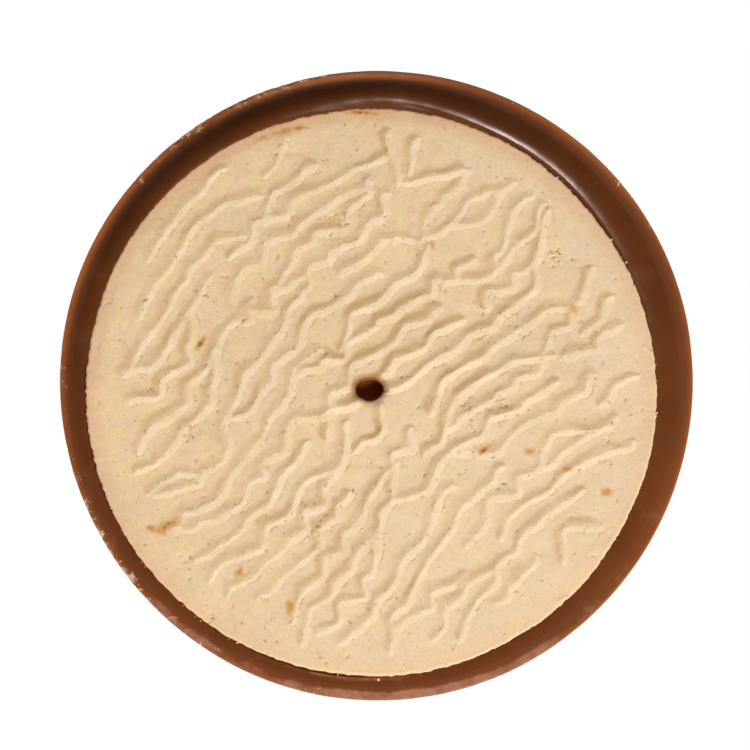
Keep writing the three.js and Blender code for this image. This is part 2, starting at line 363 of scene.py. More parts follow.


# Height of the ridges over the biscuit, distance from the middle of their pale strip (part paler crumb,
# part painted highlight), and strength of the painted shade along their upper left foot. All three go by
# the distance from the nearest point of each line, counted positive on the upper left: the section climbs
# evenly to the top and falls off in a hollow curve, and the painted shade is a bell.
def ridgeRelief(points):
    heights, shades = np.zeros((2, len(points)))
    fromCream = np.full(len(points), ridges["creamFar"])
    seed = ridges["seed"]
    strayX = layeredHills(*points.T, ridges["stray"], seed + 20)
    strayY = layeredHills(*points.T, ridges["stray"], seed + 30)
    strayed = points + np.stack([strayX, strayY], axis=1)
    size, share = ridges["thickness"]
    thickness = 1 + share * hills(*points.T, size, seed + 40)
    low, top, high = ridges["lowerFoot"], ridges["top"], ridges["upperFoot"]
    reach = ridges["searchReach"] * high
    for ridge in drawRidges():
        line, fullness = ridgeLine(ridge)
        inBox = (strayed > line.min(0) - reach) & (strayed < line.max(0) + reach)
        near = np.where(np.all(inBox, axis=1))[0]
        start, step = line[:-1], np.diff(line, axis=0)
        toPoint = strayed[near][:, None, :] - start
        share = np.clip((toPoint * step).sum(-1) / (step * step).sum(-1), 0, 1)
        offset = toPoint - share[..., None] * step
        closest = np.argmin((offset ** 2).sum(-1), axis=1)
        row = np.arange(len(near))
        offset, share, heading = offset[row, closest], share[row, closest], step[closest]
        upper = heading[:, 0] * offset[:, 1] - heading[:, 1] * offset[:, 0] > 0
        full = fullness[closest] * (1 - share) + fullness[closest + 1] * share
        width = thickness[near] * np.maximum(ridges["endWidth"], full)
        away = np.hypot(*offset.T) * np.where(upper, 1, -1) / width
        climb = np.clip((away - low) / (top - low), 0, 1)
        fall = 1 - np.clip((away - top) / (high - top), 0, 1)
        strength = np.minimum(1, ridges["endStrength"] * full)
        toCream = np.abs(away - ridges["creamMiddle"]) + ridges["creamTaper"] * (1 - strength)
        shade = np.exp(-((away - ridges["shadeMiddle"]) / ridges["shadeHalf"]) ** 2)
        heights[near] = np.maximum(heights[near], ridge["height"] * strength * climb * fall ** 2)
        fromCream[near] = np.minimum(fromCream[near], toCream)
        shades[near] = np.maximum(shades[near], strength * shade)
    size, share = ridges["weakPatch"]
    atEdge, more, spread = ridges["strength"]
    alongLanes = (math.cos(ridges["direction"]), math.sin(ridges["direction"]))
    outward = (points - biscuit["centre"]) / biscuit["radius"]
    strength = atEdge + more * np.exp(-(outward ** 2).sum(1) / spread ** 2)
    strength += ridges["strengthTilt"] * outward @ alongLanes
    strength *= 1 + share * hills(*points.T, size, seed + 60)
    crumbled = 1 + layeredHills(*points.T, ridges["crumble"], seed)
    whole = strength * np.maximum(ridges["crumbleLeast"], crumbled)
    least, more = ridges["shadeShares"]
    patches = hills(*points.T, ridges["shadePatch"], seed + 50)
    patchy = least + more * smoothStep(*ridges["shadeLevels"], patches)
    fromCream += ridges["creamTaper"] * np.maximum(0, 1 - strength)
    return heights * whole, fromCream, shades * patchy * strength


# Small pits, more of them in the crumbly patches: each lowers the points within an ellipse by a bowl.
def pitDepths(points):
    rng = np.random.default_rng(biscuit["seed"])
    count = biscuit["pitCount"]
    angle = rng.uniform(0, fullTurn, count)
    distance = biscuit["radius"] * np.sqrt(rng.uniform(0, 1, count))
    middles = [ringAt(biscuit["centre"], distance, angle)]
    for x, y, halfLength, halfWidth in biscuit["crumblyPatches"]:
        spread = (biscuit["patchSpread"] * halfLength, biscuit["patchSpread"] * halfWidth)
        middles.append(rng.normal((x, y), spread, (biscuit["patchPits"], 2)))
    middles = np.concatenate(middles)
    count = len(middles)
    radius = rng.uniform(*biscuit["pitRadius"], count)
    stretch = rng.uniform(*biscuit["pitStretch"], count)
    depth = rng.uniform(*biscuit["pitDepth"], count)
    heading = ridges["direction"] + rng.normal(0, biscuit["pitTurn"], count)
    depths = np.zeros(len(points))
    for k in range(count):
        dx, dy = (points - middles[k]).T
        c, s = math.cos(heading[k]), math.sin(heading[k])
        along, across = (c * dx + s * dy) / stretch[k], c * dy - s * dx
        bowl = np.clip(1 - (along ** 2 + across ** 2) / radius[k] ** 2, 0, 1)
        depths = np.maximum(depths, depth[k] * bowl)
    return depths


# Strength of the crumbly patches at each point: a bell over each.
def crumbliness(points):
    amount = np.zeros(len(points))
    for x, y, halfLength, halfWidth in biscuit["crumblyPatches"]:
        dx, dy = points[:, 0] - x, points[:, 1] - y
        amount = np.maximum(amount, np.exp(-(dx / halfLength) ** 2 - (dy / halfWidth) ** 2))
    return amount


# Strength of the toasted spots at each point: stretched bells with a crumbly outline.
def toastAmount(points):
    amount = np.zeros(len(points))
    for x, y, length, width, heading, strength in biscuit["toastedSpots"]:
        c, s = math.cos(math.radians(heading)), math.sin(math.radians(heading))
        dx, dy = points[:, 0] - x, points[:, 1] - y
        away = ((c * dx + s * dy) / length) ** 2 + ((c * dy - s * dx) / width) ** 2
        amount = np.maximum(amount, strength * np.exp(-away))
    return amount * (1 + layeredHills(*points.T, biscuit["toastEdge"], biscuit["seed"] + 90))


# A square grid bent into a disc, so that its cells stay even, with the middle cells left out. A point's
# ring is its larger grid distance from the middle. Gives the angle and ring of each point, and the quads.
def discGrid(half, inner):
    i, j = np.meshgrid(np.arange(-half, half + 1), np.arange(-half, half + 1), indexing="ij")
    ring = np.maximum(abs(i), abs(j))
    kept = ring >= inner
    number = np.where(kept, np.cumsum(kept.ravel()).reshape(kept.shape) - 1, -1)
    wide = abs(i) >= abs(j)
    with np.errstate(divide="ignore", invalid="ignore"):
        slope = np.where(wide, math.pi / 4 * j / i, quarterTurn - math.pi / 4 * i / j)
    angle = slope + np.where(np.where(wide, i < 0, j < 0), math.pi, 0)
    cells = kept[:-1, :-1] & kept[1:, :-1] & kept[1:, 1:] & kept[:-1, 1:]
    corners = [number[:-1, :-1], number[1:, :-1], number[1:, 1:], number[:-1, 1:]]
    return angle[kept], ring[kept], np.stack([corner[cells] for corner in corners], axis=1)


# The biscuit: by its ring, a point of the disc lies between the hole's mouth and the edge. Ridges and
# swells lift it, and pits, the roll and rounding at the edge and the dip at the mouth lower it. Walls and
# an underside close it.
def makeBiscuit(material):
    half, inner = biscuit["gridHalf"], biscuit["holeCells"]
    angle, ring, cells = discGrid(half, inner)
    share = (ring - inner) / (half - inner)
    mouth = holeRing(angle, hole["halfWidth"] + hole["bevel"])
    flat = mouth + (biscuitEdge(angle) - mouth) * share[:, None]
    fromEdge = (1 - share) * (biscuit["radius"] - hole["halfWidth"])
    fromMouth = np.hypot(*(flat - mouth).T)

    top = floorHeight + biscuit["thickness"]
    # foot is the strength of the painted shade along the ridges' upper left foot
    ridge, fromCream, foot = ridgeRelief(flat)
    pit = pitDepths(flat)
    swells = layeredHills(*flat.T, biscuit["swells"], biscuit["seed"])
    rollWidth, rollDrop = biscuit["edgeRoll"]
    roll = rollDrop * (1 - smoothStep(0, rollWidth, fromEdge))
    fall = np.clip(1 - fromEdge / biscuit["edgeRounding"], 0, 1)
    rounded = biscuit["edgeRounding"] * (1 - np.sqrt(1 - biscuit["roundingShare"] * fall ** 2))
    dipWidth, dipDrop = hole["mouthDip"]
    dip = dipDrop * (1 - smoothStep(0, dipWidth, fromMouth))
    upper = np.column_stack([flat, top + ridge - pit + swells - roll - rounded - dip])

    # painted shade around the hole's mouth
    shadeReach, shadeStrength = hole["mouthShade"]
    hollow = [shadeStrength * np.exp(-fromMouth / shadeReach)]
    # painted shade: the biscuit's sides and underside are painted dark brown, so a dark line shows below
    # its edge where the crevice lies in shade
    sideShade = [np.zeros(len(upper))]
    points, quads, triangles = [upper], [cells], []

    def addPoints(flat, height, hollowness, sideShaded):
        first = sum(len(part) for part in points)
        points.append(np.column_stack([flat, np.broadcast_to(height, len(flat))]))
        hollow.append(np.full(len(flat), hollowness))
        sideShade.append(np.full(len(flat), sideShaded))
        return np.arange(first, first + len(flat))

    def ringInOrder(which):
        members = np.where(ring == which)[0]
        return members[np.argsort(angle[members] % fullTurn)]

    # the outer wall, down from the rim, and the underside
    previous = rim = ringInOrder(half)
    edgeHeight = upper[rim, 2]
    side = biscuitEdge(angle[rim])
    for level in biscuit["wallLevels"]:
        current = addPoints(side, edgeHeight + (floorHeight - edgeHeight) * level, 0, 1)
        quads.append(stripQuads(current, previous))
        previous = current
    middle = addPoints(np.array([biscuit["centre"]]), floorHeight, 0, 1)
    triangles.append(fanTriangles(previous[::-1], middle[0]))

    # the hole: a rounded mouth, the wall and the floor
    previous = lip = ringInOrder(inner)
    bevel = hole["bevel"]
    turns = np.linspace(0, quarterTurn, hole["bevelSteps"] + 1)[1:]
    sections = [(bevel * (1 - math.sin(turn)), bevel * (1 - math.cos(turn))) for turn in turns]
    sections += [(0, depth) for depth in np.linspace(bevel, biscuit["thickness"], hole["wallSteps"])[1:]]
    holeFloor = floorHeight + hole["membrane"]
    for wider, depth in sections:
        wall = holeRing(angle[lip], hole["halfWidth"] + wider)
        height = np.maximum(upper[lip, 2] - depth, holeFloor)
        current = addPoints(wall, height, smoothStep(*hole["hollowDepths"], depth), 0)
        quads.append(stripQuads(previous, current))
        previous = current
    middle = addPoints(np.array([hole["centre"]]), holeFloor, 1, 0)
    triangles.append(fanTriangles(previous, middle[0]))

    points = np.concatenate(points)
    plain = np.zeros(len(points) - len(upper))
    # painted light: paler towards the lit lower right
    paintedLight = smoothStep(*biscuit["litReach"], flat @ biscuit["litSide"])
    margin = 1 - smoothStep(*biscuit["marginReach"], fromEdge)
    baked = 1 - smoothStep(*biscuit["bakedReach"], fromEdge)
    baked = baked * stretchStrength(biscuit["bakedStretches"], angle)
    attributes = {
        "fromCream": np.concatenate([fromCream, plain + 1]),
        "foot": np.concatenate([foot, plain]),
        "pit": np.concatenate([pit / biscuit["pitDepth"][1], plain]),
        "toast": np.concatenate([toastAmount(flat), plain]),
        "crumbly": np.concatenate([crumbliness(flat), plain]),
        "margin": np.concatenate([margin, plain + 1]),
        "baked": np.concatenate([baked, plain]),
        "paintedLight": np.concatenate([paintedLight, plain]),
        "hollow": np.concatenate(hollow),
        "sideShade": np.concatenate(sideShade),
    }
    quads, triangles = np.concatenate(quads), np.concatenate(triangles)
    slot, replaced = "baked_biscuit", "biscuit"
    makePiece("biscuitBody", points, quads, triangles, attributes, material, replaced)


# Chocolate tray
tray = {
    "wallDraft": 0.5,
    "footRounding": 1.3,
    "panelRadius": 25,              # shallow panel moulded into the underside
    "panelDepth": 0.3,
    "panelBevel": 0.5,
    "panelMiddle": 1,               # radius of its innermost ring
    "outlineWave": (3, 0.11, -0.34),        # slow wave of the outline: count around, depth, phase
    "grooveHeight": 4.65,
    "edgeLift": 0.55,               # how much higher groove and lip are on the high side
    "liftFade": 1.5,
    "highSide": math.radians(175),
    "shoulderSlope": 0.31,          # rise over run from the groove to the bead
    "shoulderSlopeSwing": 0.16,     # more of it at +Y, less at -Y
    "shoulderPower": 1.5,           # bulge of the shoulder at -Y; towards +Y it turns S-shaped
    "shoulderCurl": 0.7,            # how much of an S
    "curlPower": 1.6,               # broadens the bead's top
    "beadShare": 0.02,              # place of the bead's top between the pocket wall and the tray's edge
    "beadRolloff": 0.02,            # drop from the bead's top to the biscuit
    "pocketGap": 0.07,
    "tuck": 0.25,                   # how far the chocolate reaches into the biscuit's side
    "tuckDrop": 0.5,
    "creviceWidth": 0.15,           # further off where a crevice shows
    "creviceCrest": (0.15, 0.2),    # height and width of the ridge along a crevice
    "seamWidth": 0.1,               # further off where a slot beside the biscuit shows
    "seamDepth": 0.5,
    "seamSlope": (0.2, 0.8),        # shares of the way to the biscuit where a slot starts and is deepest
    "flatWidth": 0.7,               # further off where the bead is broad
    "flatLift": 0.14,               # and how much higher it is there
    "flatRise": 0.04,               # climb of the broad part to the biscuit
    "lipWidth": 0.65,
    "lipWidthSwing": 0.05,          # the lip is wider at +Y and -Y than at +X and -X
    "lipRise": 0.24,
    "lipMiddle": math.radians(97),
    "lipFade": 12,
    "lipTopShare": 0.45,            # place of the lip's top within its width
    "lipEdgeDrop": 0.08,
    "aroundSteps": 800,
    "ringCounts": {
        "panel": 5, "base": 3, "foot": 9, "wall": 9, "lip": 14, "shoulder": 32, "bead": 8, "tuck": 5,
    },
    "smoothing": 6,                 # passes that round the corners of the upper side
    "unsmoothed": 4,                # rings beside the biscuit that they leave out
    "swells": [(5.0, 0.03), (1.6, 0.012)],  # size and height of the unevenness
    "lipSwells": [(3.2, 0.05), (1.0, 0.03)],
    "wallUneven": 6,                # power by which the lip's unevenness fades down the wall
    "grooveUneven": 0.4,            # share of it left in the groove
    "shoulderUneven": 0.15,         # share of the shoulder over which it ends
    "outlineUneven": 0.3,           # share of it that moves the edge in and out
    "chipSizes": [(0.9, 1.0), (0.42, 0.6)],
    "chipLevels": (0.68, 0.84),     # hill heights at which a chip starts and is deepest
    "chipLift": 0.45,               # how far a chipped stretch raises the hills
    "chipSpread": 1.5,              # above 1 keeps chips deep towards the ends of a stretch
    "chipDepth": 0.13,
    "chipInward": 0.2,              # share of the depth by which chips cut into the outline
    "edgeFade": 1.2,                # how far down the wall the looks of the edge reach
    "thinReach": 0.45,              # how far the painted glow of the thin edge reaches inwards
    "thinLeast": 0.6,
    "mattReach": (0.8, 1.6),        # distances from the edge at which the matt band thins out and ends
    "frostReach": (0.45, 1.2),      # and the scuffed band
    "crestHighlight": 0.6,              # strength of the painted highlight on the ridge along a crevice
    "seed": 77,
    # stretches of the edge: middle angle and half spread in degrees, strength
    "chipped": [(-148, 26, 0.85), (119, 23, 0.85), (-96, 16, 0.35), (36, 12, 0.3), (178, 12, 0.3)],
    # painted glow, as of light through the thin edge
    "thin": [(152, 42, 1.1), (48, 28, 1.0)],
    "frosted": [(-82, 34, 1.0), (-125, 16, 0.5), (97, 14, 0.3)],
    "crevices": [(-98.5, 11, 1.0)],
    "seams": [(48, 20, 1.0), (-100, 12, 0.25)],
    "flats": [(87, 16, 1.0)],
}


# How far out the tray's edge lies: a circle with a slow wave.
def trayEdge(angle):
    return trayRadius + wavesAround([tray["outlineWave"]], angle)


# Width of the lip: it swells twice around.
def lipInset(angle):
    return tray["lipWidth"] - tray["lipWidthSwing"] * np.cos(2 * angle)


# How much of the lip stands up: a power of the cosine from its middle.
def lipStrength(angle):
    return np.maximum(0, np.cos(angle - tray["lipMiddle"])) ** tray["lipFade"]


# Height of the groove inside the lip: a power of the cosine lifts it on the high side.
def grooveLevel(angle):
    lift = np.maximum(0, np.cos(angle - tray["highSide"])) ** tray["liftFade"]
    return tray["grooveHeight"] + tray["edgeLift"] * lift


# Height of the lip over its width: a rounded edge up to the top, then an easy fall into the groove.
def lipProfile(share, angle):
    rise = tray["lipRise"] * lipStrength(angle)
    outer = np.clip(1 - share / tray["lipTopShare"], 0, 1)
    inner = np.clip((share - tray["lipTopShare"]) / (1 - tray["lipTopShare"]), 0, 1)
    edge = tray["lipEdgeDrop"] * (1 - np.sqrt(1 - outer ** 2))
    return grooveLevel(angle) + rise * (0.5 + 0.5 * np.cos(math.pi * inner)) - edge


# Top of the bead in plan, and how high it stands over the groove: a slope times the way between them.
def beadTop(angle):
    flat = stretchStrength(tray["flats"], angle)
    gap = tray["pocketGap"] + tray["creviceWidth"] * stretchStrength(tray["crevices"], angle)
    gap += tray["seamWidth"] * stretchStrength(tray["seams"], angle) + tray["flatWidth"] * flat
    pocket = ringAt(biscuit["centre"], biscuitReach(angle) + gap, angle)
    crest = pocket + (ringAt((0, 0), trayEdge(angle), angle) - pocket) * tray["beadShare"]
    groove = ringAt((0, 0), trayEdge(angle) - lipInset(angle), angle)
    slope = tray["shoulderSlope"] + tray["shoulderSlopeSwing"] * np.sin(angle)
    return crest, slope * np.hypot(*(groove - crest).T) + tray["flatLift"] * flat


# Rings of the tray, from the middle of the underside over wall, lip, shoulder and bead into the pocket:
# circles about the tray's or the biscuit's middle, or a share of the way between two of them. Gives the
# rings, each one's share of the lip's unevenness, and which of them form the smoothed upper side.
def trayRings(angle):
    counts, rounding = tray["ringCounts"], tray["footRounding"]
    footRadius = trayRadius - tray["wallDraft"]
    rings, uneven = [], []

    def addRing(flat, height, unevenness=0.0):
        rings.append(np.column_stack([flat, np.broadcast_to(height, len(angle))]))
        uneven.append(unevenness)

    def circle(radius):
        return ringAt((0, 0), radius + trayEdge(angle) - trayRadius, angle)

    panelEdge = tray["panelRadius"] - tray["panelBevel"]
    for radius in np.linspace(tray["panelMiddle"], panelEdge, counts["panel"]):
        addRing(circle(radius), tray["panelDepth"])
    for radius in np.linspace(tray["panelRadius"], footRadius - rounding, counts["base"]):
        addRing(circle(radius), 0)
    for turn in np.linspace(0, quarterTurn, counts["foot"])[1:]:
        addRing(circle(footRadius - rounding * (1 - math.sin(turn))), rounding * (1 - math.cos(turn)))
    edgeHeight = lipProfile(0, angle)
    for share in np.linspace(0, 1, counts["wall"])[1:-1]:
        radius = footRadius + tray["wallDraft"] * share
        addRing(circle(radius), rounding + (edgeHeight - rounding) * share, share ** tray["wallUneven"])
    for share in 1 - np.cos(np.linspace(0, quarterTurn, counts["lip"])):
        radius = trayRadius - share * lipInset(angle)
        addRing(circle(radius), lipProfile(share, angle), 1 - (1 - tray["grooveUneven"]) * share)
        if share < tray["lipTopShare"]:
            first = len(rings)

    # the shoulder up to the bead, with a small ridge along a crevice
    groove = rings[-1][:, :2]
    crest, rise = beadTop(angle)
    run = np.hypot(*(groove - crest).T)
    shoulder = grooveLevel(angle) + rise
    crestHeight, crestWidth = tray["creviceCrest"]
    crestHeight = crestHeight * stretchStrength(tray["crevices"], angle)
    easing = 0.5 + 0.5 * np.sin(angle)
    for share in np.linspace(1, 0, counts["shoulder"])[1:]:
        unevenness = tray["grooveUneven"] * max(0.0, 1 - (1 - share) / tray["shoulderUneven"])
        eased = share + tray["shoulderCurl"] * (smoothStep(0, 1, share) ** tray["curlPower"] - share)
        fall = easing * eased + (1 - easing) * share ** tray["shoulderPower"]
        ridge = crestHeight * np.exp(-(share * run / crestWidth) ** 2)
        addRing(crest + (groove - crest) * share, shoulder - rise * fall + ridge, unevenness)

    # from the bead to the biscuit, under its edge and down into the pocket
    bead = shoulder + crestHeight
    raised = tray["flatRise"] * stretchStrength(tray["flats"], angle)
    seam = tray["seamDepth"] * stretchStrength(tray["seams"], angle)
    reach = biscuitReach(angle) + np.minimum(raggedness(angle), tray["pocketGap"] / 2)
    contact = ringAt(biscuit["centre"], reach, angle)
    tucked = ringAt(biscuit["centre"], reach - tray["tuck"], angle)
    for share in np.linspace(0, 1, counts["bead"])[1:]:
        slot = seam * smoothStep(*tray["seamSlope"], share)
        height = bead + raised * share - tray["beadRolloff"] * share ** 2 - slot
        addRing(crest + (contact - crest) * share, height)
    last = len(rings) - tray["unsmoothed"]
    for share in np.linspace(0, 1, counts["tuck"])[1:]:
        drop = tray["tuckDrop"] * smoothStep(0, 1, share)
        addRing(contact + (tucked - contact) * share, height - drop)
    height = height - tray["tuckDrop"]
    for share in np.linspace(0, 1, counts["tuck"])[1:]:
        addRing(tucked, height + (floorHeight - height) * share)
    addRing(holeRing(angle, hole["plugBase"]), floorHeight)
    for share, risen in hole["plugSection"]:
        addRing(holeRing(angle, share * hole["halfWidth"]), floorHeight + risen * hole["plugRise"])

    rings = np.stack(rings)
    for _ in range(tray["smoothing"]):
        zone = rings[first - 1:last + 1]
        rings[first:last] = (zone[:-2] + 2 * zone[1:-1] + zone[2:]) / 4
    return rings, np.array(uneven)[:, None], slice(first, last)


# Unevenness of the tray: hills lift the upper side and move the edge, and high ones cut chips in the lip.
def roughenTray(rings, uneven, upperSide, angle):
    seed, depth = tray["seed"], tray["chipDepth"]
    x, y, z = np.moveaxis(rings, -1, 0)
    lift = uneven * layeredHills(x, y, tray["lipSwells"], seed + 10)
    lift[upperSide] += layeredHills(x, y, tray["swells"], seed)[upperSide]
    chipped = stretchStrength(tray["chipped"], angle)
    chipHills = layeredHills(x, y + z, tray["chipSizes"], seed + 20) + tray["chipLift"] * chipped
    chip = uneven * smoothStep(*tray["chipLevels"], chipHills)
    chip = chip * np.clip(chipped * tray["chipSpread"], 0, 1)
    outline = uneven * layeredHills(x, y, tray["lipSwells"], seed + 30)
    inward = tray["chipInward"] * depth * chip + tray["outlineUneven"] * outline
    rings[..., 2] += lift - depth * chip
    rings[..., :2] -= inward[..., None] * np.stack([np.cos(angle), np.sin(angle)], axis=1)


# Looks of the tray by the distance from its edge and from the ridge along a crevice, with one value for
# each point of the rings and for the middles of the underside and the plug.
def trayLooks(rings, uneven, upperSide, angle):
    x, y, z = np.moveaxis(rings, -1, 0)
    inset = trayEdge(angle) - np.hypot(x, y)
    nearEdge = smoothStep(-tray["edgeFade"], 0, z - grooveLevel(angle))
    matt = 1 - smoothStep(*tray["mattReach"], inset)
    thinness = np.maximum(tray["thinLeast"], stretchStrength(tray["thin"], angle))
    glow = np.exp(-np.abs(inset) / tray["thinReach"]) * thinness * nearEdge
    frostAndHighlight = stretchStrength(tray["frosted"], angle) * nearEdge
    frostAndHighlight = frostAndHighlight * (1 - smoothStep(*tray["frostReach"], inset))
    # painted highlight on the ridge along a crevice, carried with the scuffed band
    crest = beadTop(angle)[0]
    fromCrest = np.hypot(x - crest[:, 0], y - crest[:, 1]) / tray["creviceCrest"][1]
    onCrest = tray["crestHighlight"] * stretchStrength(tray["crevices"], angle) * np.exp(-fromCrest ** 2)
    frostAndHighlight[upperSide] = np.maximum(frostAndHighlight, onCrest)[upperSide]
    onPlug = np.zeros((len(rings), 1))
    onPlug[-len(hole["plugSection"]):] = 1
    looks = {
        "matt": (np.maximum(matt, hole["plugMatt"] * onPlug), 0, hole["plugMatt"]),
        "lip": (uneven * lipStrength(angle), 0, 0),
        "frostAndHighlight": (frostAndHighlight, 0, 0),
        "chip": (uneven * stretchStrength(tray["chipped"], angle), 0, 0),
        # painted glow on the thin edge, and the plug painted lighter in the same colour
        "thin": (np.maximum(glow, onPlug), 0, 1),
    }
    return {key: np.concatenate([onRings.ravel(), middles]) for key, (onRings, *middles) in looks.items()}


# The chocolate tray: its rings joined by quads, with a fan of triangles at both ends.
def makeChocolate(material):
    steps = tray["aroundSteps"]
    angle = fullTurn * np.arange(steps) / steps
    rings, uneven, upperSide = trayRings(angle)
    roughenTray(rings, uneven, upperSide, angle)
    attributes = trayLooks(rings, uneven, upperSide, angle)
    plugTop = floorHeight + hole["plugMiddle"] * hole["plugRise"]
    middles = [[0, 0, tray["panelDepth"]], [*hole["centre"], plugTop]]
    points = np.concatenate([rings.reshape(-1, 3), middles])
    count = len(rings) * steps
    ids = np.arange(count).reshape(-1, steps)
    quads = np.concatenate([stripQuads(lower, upper) for lower, upper in zip(ids[:-1], ids[1:])])
    triangles = np.concatenate([fanTriangles(ids[0][::-1], count), fanTriangles(ids[-1], count + 1)])
    slot, replaced = "milk_chocolate", "chocolate"
    makePiece("chocolateTray", points, quads, triangles, attributes, material, replaced)


# Many small lumps in one mesh: an eight-faced body, split once, with each corner moved by chance, then
# squashed and turned.
def makeLumps(name, places, sizes, look, material):
    rng = np.random.default_rng(look["seed"])
    corners = np.array([(1, 0, 0), (-1, 0, 0), (0, 1, 0), (0, -1, 0), (0, 0, 1), (0, 0, -1)], float)
    upper = [(0, 2, 4), (2, 1, 4), (1, 3, 4), (3, 0, 4)]
    lower = [(2, 0, 5), (1, 2, 5), (3, 1, 5), (0, 3, 5)]
    faces = np.array(upper + lower)
    edges = np.sort(np.concatenate([faces[:, [0, 1]], faces[:, [1, 2]], faces[:, [2, 0]]]), axis=1)
    pairs, which = np.unique(edges, axis=0, return_inverse=True)
    middles = corners[pairs].sum(1)
    middles /= np.linalg.norm(middles, axis=1, keepdims=True)
    shape = np.concatenate([corners, middles])
    ab, bc, ca = which.reshape(3, len(faces)) + len(corners)
    a, b, c = faces.T
    quarters = [(a, ab, ca), (ab, b, bc), (ca, bc, c), (ab, bc, ca)]
    split = np.concatenate([np.stack(quarter, axis=1) for quarter in quarters])

    count = len(places)
    lumps = shape * rng.uniform(*look["corners"], (count, len(shape), 1))
    lumps = lumps * rng.uniform(*look["stretch"], (count, 1, 3))
    lumps[..., 2] *= look["flatness"]
    turn = rng.uniform(0, fullTurn, (count, 1))
    x, y = lumps[..., 0].copy(), lumps[..., 1].copy()
    lumps[..., 0] = np.cos(turn) * x - np.sin(turn) * y
    lumps[..., 1] = np.sin(turn) * x + np.cos(turn) * y
    points = (lumps * sizes[:, None, None] + places[:, None, :]).reshape(-1, 3)
    triangles = (split + len(shape) * np.arange(count)[:, None, None]).reshape(-1, 3)
    makePiece(name, points, np.zeros((0, 4), int), triangles, {}, material)


# Chocolate flakes
flakes = {
    "count": 110,
    "tries": 40,                    # for each flake; the edge's stretches let some of them through
    "leastChance": 0.04,
    "acrossLip": (0.02, 0.9),       # shares of the lip's width
    "size": (0.03, 0.11),
    "smaller": (0.5, 1),            # a second share of the size, so that small ones are common
    "corners": (0.6, 1.25),         # how far a corner lies in or out
    "stretch": (0.6, 1.2),          # along each axis
    "flatness": 0.6,
    "paleness": 0.75,
    "seed": 5,
}


# Flakes on the lip, thickest along its chipped stretches.
def makeFlakes(material):
    rng = np.random.default_rng(flakes["seed"])
    tries = rng.uniform(-math.pi, math.pi, flakes["tries"] * flakes["count"])
    chance = stretchStrength(tray["chipped"], tries) + flakes["leastChance"]
    angle = tries[rng.uniform(0, 1, len(tries)) < chance][:flakes["count"]]
    share = rng.uniform(*flakes["acrossLip"], len(angle))
    sizes = rng.uniform(*flakes["size"], len(angle)) * rng.uniform(*flakes["smaller"], len(angle))
    flat = ringAt((0, 0), trayEdge(angle) - share * lipInset(angle), angle)
    places = np.column_stack([flat, lipProfile(share, angle)])
    makeLumps("chocolateFlakes", places, sizes, flakes, material)


# Biscuit crumbs
crumbs = {
    "count": 170,                   # along the biscuit's edge
    "patchCount": 14,               # in each crumbly patch
    "beyond": (-0.5, 0.12),         # distances from the edge, outwards
    "sunk": 0.1,                    # how far those lie under the biscuit's top
    "fallen": (-88.6, 0.3, 0.2),    # the one on the chocolate: angle in degrees, distance as above, size
    "size": (0.04, 0.13),
    "smaller": (0.5, 1),            # a second share of the size, so that small ones are common
    "patchSize": 0.6,               # share of the size in the patches
    "patchHeight": 0.02,            # spread of their heights
    "corners": (0.6, 1.25),         # how far a corner lies in or out
    "stretch": (0.6, 1.2),          # along each axis
    "flatness": 0.8,
    "seed": 9,
}


# Crumbs along the biscuit's edge and in its crumbly patches, and one that has fallen on the chocolate.
def makeCrumbs(material):
    rng = np.random.default_rng(crumbs["seed"])
    count = crumbs["count"]
    angle = rng.uniform(0, fullTurn, count)
    beyond = rng.uniform(*crumbs["beyond"], count)
    sizes = rng.uniform(*crumbs["size"], count) * rng.uniform(*crumbs["smaller"], count)
    fallenAngle, beyond[0], sizes[0] = crumbs["fallen"]
    angle[0] = math.radians(fallenAngle)
    flat = ringAt(biscuit["centre"], biscuit["radius"] + beyond, angle)
    top = floorHeight + biscuit["thickness"]
    height = np.full(count, top - crumbs["sunk"])
    height[0] = (grooveLevel(angle) + beadTop(angle)[1])[0]
    places = [np.column_stack([flat, height])]
    keeping = biscuit["patchSpread"]
    for x, y, halfLength, halfWidth in biscuit["crumblyPatches"]:
        spread = (keeping * halfLength, keeping * halfWidth, crumbs["patchHeight"])
        places.append(rng.normal((x, y, top), spread, (crumbs["patchCount"], 3)))
    places = np.concatenate(places)
    patchSizes = crumbs["patchSize"] * rng.uniform(*crumbs["size"], len(places) - count)
    sizes = np.concatenate([sizes, patchSizes])
    makeLumps("biscuitCrumbs", places, sizes, crumbs, material)


